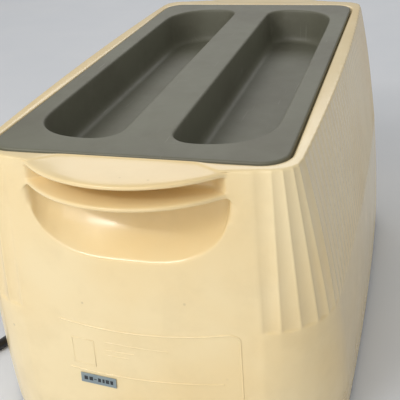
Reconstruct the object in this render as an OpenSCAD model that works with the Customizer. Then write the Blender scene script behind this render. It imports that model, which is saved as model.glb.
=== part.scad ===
// Desk base of an electric erasing machine.
// Millimetres.  Origin on the table under the middle of the housing.
// +Z is up, +Y runs along the housing to the end with the drive outlet.

/* [Housing] */
// Width of the housing at the table
base_w = 237; // [232:1:240]
// Length of the housing at the table
base_l = 397; // [394:1:399]
// Width of the housing at its rim, half-way along
top_w = 192; // [191:1:194]
// Length of the housing at its rim
top_l = 387; // [386:1:389]
// Height to the top of the tray
overall_h = 195; // [194:1:197]
// Wall thickness of the housing
wall = 3; // [2.5:0.5:3.5]

/* [Tray] */
// Width of the tray
tray_w = 170; // [168:1:171]
// Length of the tray
tray_l = 350; // [346:1:351]
// Depth of the two troughs below the tray top
trough_depth = 28; // [20:1:32]
// Length of each trough
trough_l = 306; // [280:1:310]
// Width of each trough
trough_w = 56; // [48:1:58]
// Land between the two troughs
land_w = 30; // [26:1:34]

/* [Drive] */
// Rim radius of the pulley on the motor shaft
motor_pulley_r = 14; // [12:1:16]
// Rim radius of the pulley on the spindle
spindle_pulley_r = 28; // [24:1:30]
// Bore radius of the drive outlet
outlet_r = 9; // [8:0.5:10]

/* [Cord] */
// Diameter of the mains cord
cord_d = 7.5; // [6:0.5:8]

/* [Hidden] */

$fn = 48;
cream = "#ecd9ac";
grey = "#71746a";
steel = "#b4b7ba";
dark = "#26272a";

// Heights
lift = 3;
shoulder_z = overall_h - 2;
rim_z = overall_h - 0.7;
seat_z = overall_h - 5;
rim_round = 0.9;
pan_t = 2;
pan_z = 6;
floor_z = pan_z + pan_t;
trough_floor_z = overall_h - trough_depth;
trough_wall = 2.5;
tray_y = -5;

// Plan of the housing: crown radii of its sides and ends, and its corners
side_crown_r = 3600;
end_crown_r = 400;
corner_top_r = 16;
corner_low_r = 74;
arc_steps = 6;
straight_steps = 5;
side_bend = 0.93;

// Small numbered sticker on the near end
sticker_x = -26.3;
sticker_z = 54.8;
end_lean = atan((base_l - top_l) / 2 / (shoulder_z - lift));

// Carry handles
lip_r = 75;
lip_centre_y = 139;
lip_end_y = 176;
upper_lip_z = [190.5, 193.5];
lower_lip_z = [178.5, 181.5];
pocket_half_w = 55.5;
pocket_low_z = 139.5;
pocket_corner_r = 25;
pocket_scoop_r = 45.6;
pocket_scoop_y = 216.6;
pocket_back_y = pocket_scoop_y - pocket_scoop_r;
slot_half_w = 50;
slot_back_y = 184;

// Fasteners of the housing
boss_x = 81;
boss_y = [-150, 0, 150];
boss_r = 5;
pilot_r = 1.6;
pilot_l = 20;
foot_x = 78;
foot_y = 120;
foot_r = 11;

// Drive train
motor_x = -32;
motor_z = 62;
motor_r = 40;
stator_y = [-66, -16];
shaft_r = 4;
spindle_x = 30;
spindle_z = 72;
pulley_y = [62, 72];
belt_gap = 0.3;
belt_t = 3;

capacitor_x = 54;
capacitor_z = 26;
capacitor_r = 17;

// Drive outlet at the far end
panel_y = 184;
panel_half_w = 50;
panel_z = [42, 102];
plate_t = 1.5;
switch_x = -26;
switch_z = 72;
switch_w = 22;
switch_h = 30;
rocker_tilt = 10;

// Mains cord
relief_y = -62;
relief_z = 22;
relief_tip_x = -148;
tube_sides = 10;
cord_r = cord_d / 2;
coil_centre = [-192, 84];
coil_mid_r = 42;
coil_w = 3 * cord_d;
coil_h = 1.87 * cord_d;

// ---------- plan of the housing ----------
// 0 at the shoulder, 1 at the foot of the wall
function fall(z) = (shoulder_z - z) / (shoulder_z - lift);
// The sides flare in a slight bow, the ends lean straight
function half_w(z) = top_w / 2 + (base_w - top_w) / 2 * fall(z) * (1 + side_bend - side_bend * fall(z));
function half_l(z) = top_l / 2 + (base_l - top_l) / 2 * fall(z);
function corner_r(z) = corner_top_r + (corner_low_r - corner_top_r) * fall(z);
function side_bow(y) = y * y / (2 * side_crown_r);
function end_bow(x) = x * x / (2 * end_crown_r);

// Centre of the corner arc, where the set-back side meets the set-back end
function corner_at(w, l, r) =
    let (y1 = l - r - end_bow(w - r), x1 = w - r - side_bow(y1), y2 = l - r - end_bow(x1))
    [w - r - side_bow(y2), y2];

// Quarter outline at height z, inset by i, from the middle of the end to the side
function quarter(z, i) =
    let (
        w = half_w(z) - i, l = half_l(z) - i, r = corner_r(z) - i, c = corner_at(w, l, r),
        a0 = 90 - asin(c[0] / end_crown_r), a1 = asin(c[1] / side_crown_r))
    concat(
        [for (k = [0:straight_steps - 1]) let (x = c[0] * k / straight_steps) [x, l - end_bow(x)]],
        [for (k = [0:arc_steps]) let (a = a0 + (a1 - a0) * k / arc_steps)
            c + r * [cos(a), sin(a)]],
        [for (k = [1:straight_steps - 1]) let (y = c[1] * (1 - k / straight_steps))
            [w - side_bow(y), y]]);
function reversed(list) = [for (k = [len(list) - 1:-1:0]) list[k]];
function tail(list) = [for (k = [1:len(list) - 1]) list[k]];

// Closed outline, clockwise from the middle of the far end
function outline(z, i) =
    let (q = quarter(z, i), side = [half_w(z) - i, 0], end = [0, half_l(z) - i])
    concat(
        q, [side],
        [for (p = reversed(tail(q))) [p[0], -p[1]]],
        [-end],
        [for (p = tail(q)) -p],
        [-side],
        [for (p = reversed(tail(q))) [-p[0], p[1]]]);

// Solid between stacked outlines; each level is [height, inset]
module loft(levels) {
    loops = [for (v = levels) [for (p = outline(min(v[0], shoulder_z), v[1])) [p[0], p[1], v[0]]]];
    n = len(loops[0]);
    m = len(levels);
    polyhedron(
        points = [for (ring = loops) each ring],
        faces = concat(
            [[for (k = [n - 1:-1:0]) k]],
            [[for (k = [0:n - 1]) (m - 1) * n + k]],
            [for (j = [0:m - 2]) for (k = [0:n - 1]) each [
                [j * n + k, (j + 1) * n + (k + 1) % n, (j + 1) * n + k],
                [j * n + k, j * n + (k + 1) % n, (j + 1) * n + (k + 1) % n]]]));
}

// ---------- small shapes ----------
module block(x, y, z) {
    translate([x[0], y[0], z[0]]) cube([x[1] - x[0], y[1] - y[0], z[1] - z[0]]);
}
module rod_y(x, z, r, y) {
    translate([x, y[0], z]) rotate([-90, 0, 0]) cylinder(h = y[1] - y[0], r = r);
}
module rod_x(y, z, r, x) {
    translate([x[0], y, z]) rotate([0, 90, 0]) cylinder(h = x[1] - x[0], r = r);
}
module rod_z(x, y, r, z) {
    translate([x, y, z[0]]) cylinder(h = z[1] - z[0], r = r);
}
module slab(half_x, half_y, r, z) {
    block([-half_x, half_x], [-half_y + r, half_y - r], z);
    block([-half_x + r, half_x - r], [-half_y, half_y], z);
    for (sx = [-1, 1]) for (sy = [-1, 1]) rod_z(sx * (half_x - r), sy * (half_y - r), r, z);
}
module both_ends() {
    children();
    mirror([0, 1, 0]) children();
}
module screw_z(x, y, z, r, l, head_r, head_h) {
    rod_z(x, y, head_r, [z - head_h, z]);
    rod_z(x, y, r, [z, z + l]);
}
// ---------- housing ----------
module lip(z) {
    intersection() {
        rod_z(0, -lip_centre_y, lip_r, z);
        block([-lip_r, lip_r], [-lip_centre_y - lip_r - 1, -lip_end_y], z);
    }
}
module scoop(grow) {
    roof_z = lower_lip_z[0] + grow / 3;
    reach = [-240, -100];
    corner_x = pocket_half_w - pocket_corner_r;
    intersection() {
        rod_x(-pocket_scoop_y, lower_lip_z[0], pocket_scoop_r + grow,
            [-pocket_half_w - grow, pocket_half_w + grow]);
        block([-100, 100], reach, [pocket_low_z - grow, roof_z]);
        union() {
            block([-pocket_half_w - grow, pocket_half_w + grow], reach,
                [pocket_low_z + pocket_corner_r, roof_z]);
            block([-corner_x, corner_x], reach, [pocket_low_z - grow, roof_z]);
            for (s = [-1, 1]) rod_y(s * corner_x, pocket_low_z + pocket_corner_r,
                pocket_corner_r + grow, reach);
        }
    }
}
module handle_solids() {
    lip(upper_lip_z);
    lip(lower_lip_z);
    intersection() {
        union() {
            scoop(wall);
            block([-pocket_half_w - wall, pocket_half_w + wall], [-200, -pocket_back_y], lower_lip_z);
            block([-slot_half_w - wall, slot_half_w + wall], [-200, -slot_back_y + wall],
                [lower_lip_z[0], seat_z - 3]);
        }
        loft([[lift, 0.4], [95, 0.4], [145, 0.4], [shoulder_z, 0.4]]);
    }
}
module handle_cuts() {
    scoop(0);
    block([-slot_half_w, slot_half_w], [-230, -slot_back_y], [lower_lip_z[1], upper_lip_z[0]]);
}
module housing() {
    color(cream) difference() {
        union() {
            difference() {
                loft([[lift, 0], [45, 0], [95, 0], [145, 0], [shoulder_z, 0], [rim_z, rim_round]]);
                loft([[lift - 1, wall], [70, wall], [130, wall], [seat_z - 3, wall]]);
            }
            both_ends() handle_solids();
            for (s = [-1, 1]) for (y = boss_y) rod_z(s * boss_x, y, boss_r, [floor_z, seat_z - 2]);
            block([-panel_half_w - wall, panel_half_w + wall], [panel_y - wall, panel_y + 8],
                [panel_z[0] - wall, panel_z[1] + wall]);
        }
        translate([0, tray_y, 0]) {
            slab(tray_w / 2 + 0.6, tray_l / 2 + 0.6, 16.6, [seat_z, overall_h + 1]);
            slab(land_w / 2 + trough_w + 6, trough_l / 2 + 5.5, 12, [seat_z - 4, seat_z + 1]);
        }
        both_ends() handle_cuts();
        block([-panel_half_w, panel_half_w], [panel_y, 210], panel_z);
        block([switch_x - switch_w / 2, switch_x + switch_w / 2], [170, 210],
            [switch_z - switch_h / 2, switch_z + switch_h / 2]);
        rod_y(spindle_x, spindle_z, 12.2, [170, 210]);
        rod_x(relief_y, relief_z, 8, [-130, -100]);
        for (s = [-1, 1]) for (y = boss_y) rod_z(s * boss_x, y, pilot_r, [floor_z - 1, floor_z + pilot_l]);
    }
}

// ---------- tray ----------
function arc(cx, cy, r, a0, a1) =
    [for (k = [0:8]) let (a = a0 + (a1 - a0) * k / 8) [cx + r * cos(a), cy + r * sin(a)]];
// Outline of the right-hand trough: tight corners by the land, wide ones outside
function trough_outline(g) =
    let (
        x0 = land_w / 2 - g, x1 = land_w / 2 + trough_w + g, y1 = trough_l / 2 + g,
        ri = 15 + g, ro = 34 + g)
    concat(
        arc(x1 - ro, y1 - ro, ro, 0, 90), arc(x0 + ri, y1 - ri, ri, 90, 180),
        arc(x0 + ri, -y1 + ri, ri, 180, 270), arc(x1 - ro, -y1 + ro, ro, 270, 360));
module trough(g, z) {
    translate([0, 0, z[0]]) linear_extrude(z[1] - z[0]) polygon(trough_outline(g));
}
module tray() {
    color(grey) translate([0, tray_y, 0]) difference() {
        union() {
            slab(tray_w / 2, tray_l / 2, 16, [seat_z, overall_h]);
            for (m = [0, 1]) mirror([m, 0, 0])
                trough(trough_wall, [trough_floor_z - trough_wall, seat_z]);
        }
        for (m = [0, 1]) mirror([m, 0, 0]) trough(0, [trough_floor_z, overall_h + 1]);
    }
}

// ---------- base ----------
module base_pan() {
    vent_x = [-60, -48, -36, 36, 48, 60];
    color(steel) difference() {
        translate([0, 0, pan_z]) linear_extrude(pan_t) polygon(outline(pan_z, wall + 0.5));
        for (x = vent_x) block([x - 2, x + 2], [-150, -100], [pan_z - 1, floor_z + 1]);
        for (s = [-1, 1]) for (y = boss_y) rod_z(s * boss_x, y, 2, [pan_z - 1, floor_z + 1]);
        for (sx = [-1, 1]) for (sy = [-1, 1])
            rod_z(sx * foot_x, sy * foot_y, 1.8, [pan_z - 1, floor_z + 1]);
    }
}
module foot(sx, sy) {
    color(dark) translate([sx * foot_x, sy * foot_y, 0]) difference() {
        rotate_extrude() polygon([[0, 0], [foot_r - 1, 0], [foot_r, 1], [foot_r - 1, pan_z], [0, pan_z]]);
        translate([0, 0, -1]) cylinder(h = 4, r = 4);
        cylinder(h = pan_z + 1, r = 1.8);
    }
}
module foot_near_left() { foot(-1, -1); }
module foot_near_right() { foot(1, -1); }
module foot_far_left() { foot(-1, 1); }
module foot_far_right() { foot(1, 1); }
module foot_screws() {
    color("silver") for (sx = [-1, 1]) for (sy = [-1, 1]) {
        rod_z(sx * foot_x, sy * foot_y, 3.4, [1, 3]);
        rod_z(sx * foot_x, sy * foot_y, 1.7, [3, 12]);
        rod_z(sx * foot_x, sy * foot_y, 3.2, [floor_z, floor_z + 2.4]);
    }
}
module base_screws() {
    color("silver") for (s = [-1, 1]) for (y = boss_y)
        screw_z(s * boss_x, y, pan_z, 1.5, 18, 3.4, 2);
}
module identity_sticker() {
    w = 23;
    h = 6.8;
    t = 0.3;
    wall_y = end_bow(sticker_x) - half_l(sticker_z);
    color("#8fa0a6") translate([sticker_x, wall_y - 0.25, sticker_z])
        rotate([-end_lean, 0, asin(sticker_x / end_crown_r)]) rotate([0, 2, 0])
        translate([-w / 2, -t, -h / 2]) cube([w, t, h]);
}

// ---------- motor ----------
module motor_bracket() {
    color(steel) difference() {
        union() {
            block([motor_x - 40, motor_x + 40], [-88, 12], [floor_z, floor_z + 3]);
            for (y = [-62, -26]) block([motor_x - 34, motor_x + 34], [y, y + 6],
                [floor_z + 3, motor_z - 14]);
        }
        rod_y(motor_x, motor_z, motor_r, [-100, 30]);
    }
}
module motor_stator() {
    color("#8b8d90") difference() {
        rod_y(motor_x, motor_z, motor_r, stator_y);
        rod_y(motor_x, motor_z, 22.6, [stator_y[0] - 1, stator_y[1] + 1]);
    }
}
module winding(y) {
    difference() {
        rod_y(motor_x, motor_z, 35, y);
        rod_y(motor_x, motor_z, 25, [y[0] - 1, y[1] + 1]);
    }
}
module motor_windings() {
    color("#a4582c") union() {
        winding([stator_y[0] - 11, stator_y[0]]);
        winding([stator_y[1], stator_y[1] + 11]);
    }
}
// Cup over one end of the motor; y0 is the stator face and d its direction
module end_bell(y0, d) {
    color("#c3c6c8") difference() {
        rod_y(motor_x, motor_z, 38.5, d > 0 ? [y0, y0 + 22] : [y0 - 22, y0]);
        rod_y(motor_x, motor_z, 35.4, d > 0 ? [y0 - 1, y0 + 12] : [y0 - 12, y0 + 1]);
        rod_y(motor_x, motor_z, 11, d > 0 ? [y0, y0 + 19] : [y0 - 19, y0]);
        rod_y(motor_x, motor_z, 7, [y0 - 30, y0 + 30]);
        for (a = [0:60:300]) translate([motor_x, y0, motor_z]) rotate([0, a, 0])
            rod_y(0, 26, 4, [-30, 30]);
    }
}
module end_bell_near() { end_bell(stator_y[0], -1); }
module end_bell_far() { end_bell(stator_y[1], 1); }
module bearing(x, z, y, outer_r) {
    difference() {
        rod_y(x, z, outer_r, y);
        rod_y(x, z, shaft_r + 0.05, [y[0] - 1, y[1] + 1]);
    }
}
module motor_bearings() {
    color("silver") union() {
        bearing(motor_x, motor_z, [stator_y[0] - 19, stator_y[0] - 12], 11);
        bearing(motor_x, motor_z, [stator_y[1] + 12, stator_y[1] + 19], 11);
    }
}
module motor_screws() {
    color("silver") for (sx = [-1, 1]) for (y = [-78, 2])
        rod_z(motor_x + sx * 35, y, 4, [floor_z + 3, floor_z + 6]);
}
module motor_shaft() {
    color("silver") rod_y(motor_x, motor_z, shaft_r, [-108, 78]);
}
module rotor_core() {
    color("#77797c") difference() {
        rod_y(motor_x, motor_z, 22, [stator_y[0] + 2, stator_y[1] - 2]);
        rod_y(motor_x, motor_z, shaft_r, [-100, 0]);
    }
}
module cooling_fan() {
    fan_y = [-106, -94];
    color("#35383c") difference() {
        union() {
            rod_y(motor_x, motor_z, 10, fan_y);
            translate([motor_x, 0, motor_z]) for (a = [0:45:315]) rotate([0, a, 0])
                translate([0, -100, 20]) rotate([0, 0, 35]) cube([2, 12, 24], center = true);
        }
        rod_y(motor_x, motor_z, shaft_r, [-120, -90]);
    }
}
module pulley(x, z, r) {
    difference() {
        union() {
            rod_y(x, z, r, pulley_y);
            rod_y(x, z, r + 4, [pulley_y[0] - 2, pulley_y[0]]);
            rod_y(x, z, r + 4, [pulley_y[1], pulley_y[1] + 2]);
        }
        rod_y(x, z, shaft_r, [pulley_y[0] - 10, pulley_y[1] + 10]);
    }
}
module drive_pulley() { color("#c9cbcd") pulley(motor_x, motor_z, motor_pulley_r); }
module driven_pulley() { color("#c9cbcd") pulley(spindle_x, spindle_z, spindle_pulley_r); }
module belt_loop(g) {
    hull() {
        translate([motor_x, -motor_z]) circle(r = motor_pulley_r + g, $fn = 32);
        translate([spindle_x, -spindle_z]) circle(r = spindle_pulley_r + g, $fn = 32);
    }
}
module drive_belt() {
    color(dark) translate([0, pulley_y[0] + 1, 0]) rotate([-90, 0, 0])
        linear_extrude(pulley_y[1] - pulley_y[0] - 2) difference() {
            belt_loop(belt_gap + belt_t);
            belt_loop(belt_gap);
        }
}

// ---------- spindle ----------
module spindle_block() {
    color("#a9acb0") difference() {
        union() {
            block([spindle_x - 34, spindle_x + 34], [92, 150], [floor_z, floor_z + 4]);
            block([spindle_x - 16, spindle_x + 16], [96, 146], [floor_z + 4, spindle_z]);
            rod_y(spindle_x, spindle_z, 16, [96, 146]);
        }
        rod_y(spindle_x, spindle_z, 6, [90, 150]);
        rod_y(spindle_x, spindle_z, 11, [90, 103]);
        rod_y(spindle_x, spindle_z, 11, [139, 150]);
        for (sx = [-1, 1]) for (y = [102, 140])
            rod_z(spindle_x + sx * 26, y, 2.2, [floor_z - 1, floor_z + 5]);
    }
}
module spindle_bearings() {
    color("silver") union() {
        bearing(spindle_x, spindle_z, [96, 103], 11);
        bearing(spindle_x, spindle_z, [139, 146], 11);
    }
}
module spindle_screws() {
    color("silver") for (sx = [-1, 1]) for (y = [102, 140]) {
        rod_z(spindle_x + sx * 26, y, 2, [floor_z, floor_z + 4]);
        rod_z(spindle_x + sx * 26, y, 4, [floor_z + 4, floor_z + 7]);
    }
}
module spindle_shaft() {
    color("silver") rod_y(spindle_x, spindle_z, shaft_r, [56, 156]);
}
module shaft_coupling() {
    socket = 3;
    color("#9a9da1") difference() {
        rod_y(spindle_x, spindle_z, 8, [152, 172]);
        rod_y(spindle_x, spindle_z, shaft_r, [151, 156]);
        block([spindle_x - socket, spindle_x + socket], [158, 174],
            [spindle_z - socket, spindle_z + socket]);
    }
}

// ---------- drive outlet and switch ----------
module outlet_plate() {
    color("#55585c") difference() {
        block([-panel_half_w + 1, panel_half_w - 1], [panel_y, panel_y + plate_t],
            [panel_z[0] + 1, panel_z[1] - 1]);
        rod_y(spindle_x, spindle_z, 12.2, [170, 210]);
        block([switch_x - switch_w / 2, switch_x + switch_w / 2], [170, 210],
            [switch_z - switch_h / 2, switch_z + switch_h / 2]);
    }
}
module outlet_ferrule() {
    color("#c8b06a") difference() {
        union() {
            rod_y(spindle_x, spindle_z, 12, [panel_y - 9, panel_y + 20]);
            rod_y(spindle_x, spindle_z, 17, [panel_y + plate_t, panel_y + plate_t + 2.5]);
        }
        rod_y(spindle_x, spindle_z, outlet_r, [panel_y - 10, panel_y + 21]);
    }
}
module plate_screws() {
    color("silver") for (sx = [-1, 1]) for (sz = [-1, 1])
        rod_y(sx * (panel_half_w - 6), (panel_z[0] + panel_z[1]) / 2 + sz * 24, 3,
            [panel_y + plate_t, panel_y + plate_t + 1.6]);
}
module switch_frame() {
    w = switch_w / 2;
    h = switch_h / 2;
    y_face = panel_y + plate_t;
    color(dark) difference() {
        union() {
            block([switch_x - w - 2, switch_x + w + 2], [y_face, y_face + 2],
                [switch_z - h - 2, switch_z + h + 2]);
            block([switch_x - w + 0.2, switch_x + w - 0.2], [y_face - 24, y_face],
                [switch_z - h + 0.2, switch_z + h - 0.2]);
        }
        block([switch_x - w + 2.2, switch_x + w - 2.2], [y_face - 12, y_face + 3],
            [switch_z - h + 2.2, switch_z + h - 2.2]);
        rod_x(y_face - 2, switch_z, 1.55, [switch_x - w + 1, switch_x + w - 1]);
    }
}
module switch_rocker() {
    w = switch_w / 2 - 2.7;
    h = switch_h / 2 - 4.4;
    translate([switch_x, panel_y + plate_t - 2, switch_z]) rotate([-rocker_tilt, 0, 0])
        color("#2c2d30") union() {
            rod_x(0, 0, 1.5, [-w - 1.4, w + 1.4]);
            difference() {
                block([-w, w], [-3, 6], [-h, h]);
                rod_x(26, 0, 21.6, [-w - 1, w + 1]);
            }
        }
}

// ---------- electrical parts ----------
module terminal_block() {
    color("#e8e6df") difference() {
        block([66, 90], [-110, -60], [floor_z, floor_z + 16]);
        for (y = [-102:11:-66]) block([62, 71], [y - 3, y + 3], [floor_z + 6, floor_z + 11]);
        for (y = [-102:11:-66]) rod_z(78, y, 3, [floor_z + 12, floor_z + 17]);
    }
}
module terminal_screws() {
    color("#c9a24e") for (y = [-102:11:-66]) rod_z(78, y, 2.8, [floor_z + 12, floor_z + 14]);
}
module run_capacitor() {
    color("#c7cacc") union() {
        rod_y(capacitor_x, capacitor_z, capacitor_r, [-40, 18]);
        rod_y(capacitor_x, capacitor_z, capacitor_r - 2, [-43, -40]);
        for (s = [-5, 5]) block([capacitor_x + s - 3, capacitor_x + s + 3], [-50, -43],
            [capacitor_z - 0.4, capacitor_z + 0.4]);
    }
}
module capacitor_strap() {
    color(steel) difference() {
        union() {
            rod_y(capacitor_x, capacitor_z, capacitor_r + 1.2, [-18, -6]);
            block([capacitor_x - 27, capacitor_x + 27], [-18, -6], [floor_z, floor_z + 1.2]);
        }
        rod_y(capacitor_x, capacitor_z, capacitor_r, [-20, 0]);
        block([0, 110], [-20, 0], [0, floor_z]);
    }
}
module wiring() {
    color("#7a3b2e") union() {
        tube([[-109.8, -63, 20], [-100, -80, 14], [-90, -112, 12], [40, -116, 12],
            [58, -103, 16], [65.9, -102, 17]], 1.6, 6);
        tube([[-109.8, -60, 24], [-96, -74, 20], [-84, -120, 16], [44, -124, 12],
            [56, -92, 16], [65.9, -91, 17]], 1.6, 6);
        tube([[65.9, -80, 17], [44, -72, 12], [28, -30, 12], [28, 30, 12], [-8, 60, 14],
            [-24, 120, 30], [switch_x + 4, 161, 66]], 1.6, 6);
        tube([[65.9, -69, 17], [46, -60, 14], [33, -30, 14], [33, 30, 14], [-14, 64, 20],
            [-34, 122, 36], [switch_x - 4, 161, 78]], 1.6, 6);
        tube([[49, -50, 26], [44, -56, 24], [20, -84, 44], [8, -76, 58]], 1.4, 6);
        tube([[59, -50, 26], [54, -60, 30], [24, -92, 54], [8, -76, 68]], 1.4, 6);
    }
}

// ---------- mains cord ----------
// Tapered sleeve along -X from the wall, with a groove that holds the wall
module strain_relief() {
    x_wall = side_bow(relief_y) - half_w(relief_z);
    l = x_wall - relief_tip_x;
    color(dark) translate([x_wall, relief_y, relief_z]) rotate([0, -90, 0]) rotate_extrude() polygon([
        [0, -7], [10, -7], [10, -4.4], [7.8, -4.4], [7.8, 0.6], [10.5, 0.6], [10.5, 3.2],
        [7.4, 4.2], [5, l], [0, l]]);
}
// Centre line of the uncoiled cord: down to the table, a loose loop, under the
// sleeve and back along the housing to the coil
cord_route = [
    [-148, -62, 22], [-160, -62, 20], [-172, -62, 14.9], [-184, -62, 8.9], [-196, -62, 4.5],
    [-206, -62.1, 3.85], [-218.4, -64.9, 3.8], [-230.5, -73, 3.8], [-238.6, -85.1, 3.8],
    [-241.5, -99.5, 3.8], [-238.6, -113.9, 3.8], [-230.5, -126, 3.8], [-218.4, -134.1, 3.8],
    [-204, -137, 3.8], [-190, -137, 3.8], [-176, -137, 3.8], [-162.2, -134.3, 3.8],
    [-150.5, -126.5, 3.8], [-142.7, -114.8, 3.8], [-140, -101, 3.8], [-140, -84, 3.8],
    [-140, -60, 3.8], [-140, -30, 3.8], [-140, 2, 3.8], [-140, 34, 3.8], [-140, 62, 3.8]];
function unit(v) = v / norm(v);
// Catmull-Rom point on the route, then the rings of the tube
function spline(p, k, t) =
    let (a = p[max(k - 1, 0)], b = p[k], c = p[k + 1], d = p[min(k + 2, len(p) - 1)])
    0.5 * ((2 * b) + (c - a) * t + (2 * a - 5 * b + 4 * c - d) * t * t
        + (3 * b - a - 3 * c + d) * t * t * t);
function tube_line(p) = concat(
    [for (k = [0:len(p) - 2]) for (t = [0, 0.5]) spline(p, k, t)], [p[len(p) - 1]]);
function ring_at(c, dir, r, m) =
    let (s = unit(cross(dir, [0, 0, 1])), u = cross(s, dir))
    [for (k = [0:m - 1]) let (a = 360 * k / m) c + r * (cos(a) * s + sin(a) * u)];
module tube(p, r, m) {
    line = tube_line(p);
    n = len(line);
    rings = [for (k = [0:n - 1])
        ring_at(line[k], unit(line[min(k + 1, n - 1)] - line[max(k - 1, 0)]), r, m)];
    polyhedron(
        points = [for (q = rings) each q],
        faces = concat(
            [[for (k = [m - 1:-1:0]) k]],
            [[for (k = [0:m - 1]) (n - 1) * m + k]],
            [for (j = [0:n - 2]) for (k = [0:m - 1]) each [
                [j * m + k, j * m + (k + 1) % m, (j + 1) * m + (k + 1) % m],
                [j * m + k, (j + 1) * m + (k + 1) % m, (j + 1) * m + k]]]));
}
module mains_cord() { color(dark) tube(cord_route, cord_r, tube_sides); }
module cord_coil() {
    color(dark) translate([coil_centre[0], coil_centre[1], 0]) rotate_extrude($fn = 64)
        translate([coil_mid_r - coil_w / 2, 0]) square([coil_w, coil_h]);
}
module cord_tie() {
    color("#5a5d60") translate([coil_centre[0] - coil_mid_r, coil_centre[1], 0]) difference() {
        block([-coil_w / 2 - 1.2, coil_w / 2 + 1.2], [-3, 3], [0, coil_h + 1.2]);
        block([-coil_w / 2 - 0.1, coil_w / 2 + 0.1], [-4, 4], [-1, coil_h + 0.1]);
    }
}
// Moulded plug lying beside the coil, blades towards +Y
plug_at = [coil_centre[0] + coil_mid_r, 123, 0];
module plug_body() {
    color(dark) translate(plug_at) union() {
        block([-12.5, 12.5], [10, 34], [0, 22]);
        rod_y(0, 11, 6, [-6, 10]);
    }
}
module plug_blades() {
    color("#cfc6a8") translate(plug_at) union() {
        for (s = [-1, 1]) block([s * 6.35 - 0.75, s * 6.35 + 0.75], [34, 50], [4, 10.3]);
        rod_y(0, 16.5, 2.4, [34, 54]);
    }
}

housing();
tray();
base_pan();
foot_near_left();
foot_near_right();
foot_far_left();
foot_far_right();
foot_screws();
base_screws();
identity_sticker();
motor_bracket();
motor_stator();
motor_windings();
end_bell_near();
end_bell_far();
motor_bearings();
motor_screws();
motor_shaft();
rotor_core();
cooling_fan();
drive_pulley();
drive_belt();
spindle_block();
spindle_bearings();
spindle_screws();
spindle_shaft();
driven_pulley();
shaft_coupling();
outlet_plate();
outlet_ferrule();
plate_screws();
switch_frame();
switch_rocker();
terminal_block();
terminal_screws();
run_capacitor();
capacitor_strap();
wiring();
strain_relief();
mains_cord();
cord_coil();
cord_tie();
plug_body();
plug_blades();
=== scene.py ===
"""Looks of the desk base of an electric erasing machine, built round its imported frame."""

import math

import bmesh
import bpy
from mathutils import Matrix, Vector


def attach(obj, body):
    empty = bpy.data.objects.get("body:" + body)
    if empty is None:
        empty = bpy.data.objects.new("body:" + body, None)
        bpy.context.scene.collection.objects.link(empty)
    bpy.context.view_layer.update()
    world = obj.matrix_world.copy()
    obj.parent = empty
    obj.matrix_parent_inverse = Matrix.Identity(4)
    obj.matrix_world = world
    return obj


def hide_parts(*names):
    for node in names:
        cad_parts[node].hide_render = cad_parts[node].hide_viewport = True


bl_info = {
    "name": "Erasing Machine Base",
    "version": (1, 0, 0),
    "blender": (4, 5, 0),
    "location": "View3D > Sidebar > Erasing Base",
    "description": "Moulded housing, tray, drive outlet and mains cord of a desk erasing machine",
    "category": "Object",
}

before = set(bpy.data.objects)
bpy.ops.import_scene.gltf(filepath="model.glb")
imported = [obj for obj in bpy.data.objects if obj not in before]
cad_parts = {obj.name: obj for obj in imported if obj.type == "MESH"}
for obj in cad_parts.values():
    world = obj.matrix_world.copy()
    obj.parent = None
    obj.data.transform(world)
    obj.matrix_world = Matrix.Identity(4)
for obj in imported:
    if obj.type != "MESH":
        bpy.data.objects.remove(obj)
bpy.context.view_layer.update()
MM = 0.001

# ---------------------------------------------------------------- plan of the housing, in mm

LIFT = 3.0  # the wall's foot stands that far off the table
SHOULDER, SEAT, RIM, TOP = 193.0, 190.0, 194.3, 195.0  # heights; SEAT is where the tray rests
TOP_W, BASE_W = 192.0, 237.0
TOP_L, BASE_L = 387.0, 397.0
CORNER_TOP, CORNER_LOW = 16.0, 74.0  # corner radii at the rim and at the foot
SIDE_CROWN, END_CROWN = 3600.0, 400.0  # radii that the long sides and the ends bulge with
SIDE_BEND = 0.93  # how bowed the flare of the long sides is, 0 for straight
LEDGE = 97.8  # height where the flutes end on the skirt


def lerp(a, b, t):
    return a + (b - a) * t


def clamp(t):
    return min(1.0, max(0.0, t))


def ease(t):
    """0 to 1 with a soft start and end."""
    t = clamp(t)
    return t * t * (3 - 2 * t)


def fall(z):
    """0 at the shoulder and 1 at the foot."""
    return (SHOULDER - min(z, SHOULDER)) / (SHOULDER - LIFT)


def half_w(z):
    """Half the housing's width at a height, in the middle of its long sides."""
    f = fall(z)
    return TOP_W / 2 + (BASE_W - TOP_W) / 2 * f * (1 + SIDE_BEND - SIDE_BEND * f)


def half_l(z):
    """Half the housing's length at a height, in the middle of its ends."""
    return TOP_L / 2 + (BASE_L - TOP_L) / 2 * fall(z)


def end_y(x, z):
    """How far out the end wall stands at that width and height."""
    return half_l(z) - x * x / (2 * END_CROWN)


def side_x(y, z):
    """How far out the long side stands at that length and height."""
    return half_w(z) - y * y / (2 * SIDE_CROWN)


_lines = {}


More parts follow.
